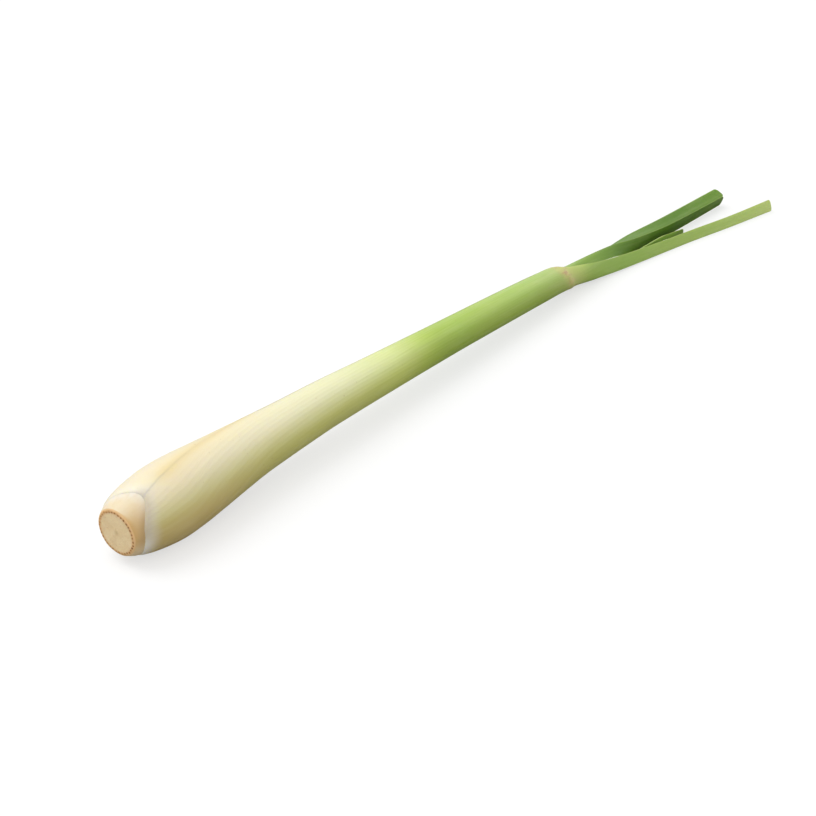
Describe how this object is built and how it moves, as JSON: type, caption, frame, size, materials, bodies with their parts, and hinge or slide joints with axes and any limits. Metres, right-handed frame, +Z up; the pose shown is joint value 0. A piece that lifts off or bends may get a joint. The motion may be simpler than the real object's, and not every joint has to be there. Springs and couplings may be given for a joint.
{
  "type": "lemongrass stalk",
  "caption": "Trimmed fresh lemongrass stalk lying on its side: a cut woody foot, a swollen pale base that tapers to a green neck, and folded leaf blades cut off short.",
  "frame": {"origin": "middle of the underside of the bounding box, on the surface the stalk lies on", "axes": "+X along the stalk from the root cut to the leaf tips, +Z up from the surface it lies on, +Y away from the side the outer blade leans to"},
  "size_m": [0.3182, 0.0346, 0.0233],
  "materials": {
    "cut_stem": "matt, pale, fibrous cut plant stem",
    "outer_leaf_skin": "smooth, slightly waxy plant skin, ivory at the base and green at the neck",
    "second_leaf_skin": "matt to slightly waxy green leaf",
    "third_leaf_skin": "matt to slightly waxy green leaf"
  },
  "bodies": {
    "root": {"stem_base": "cut_stem", "outer_leaf": "outer_leaf_skin", "second_leaf": "second_leaf_skin", "third_leaf": "third_leaf_skin"}
  },
  "joints": []
}
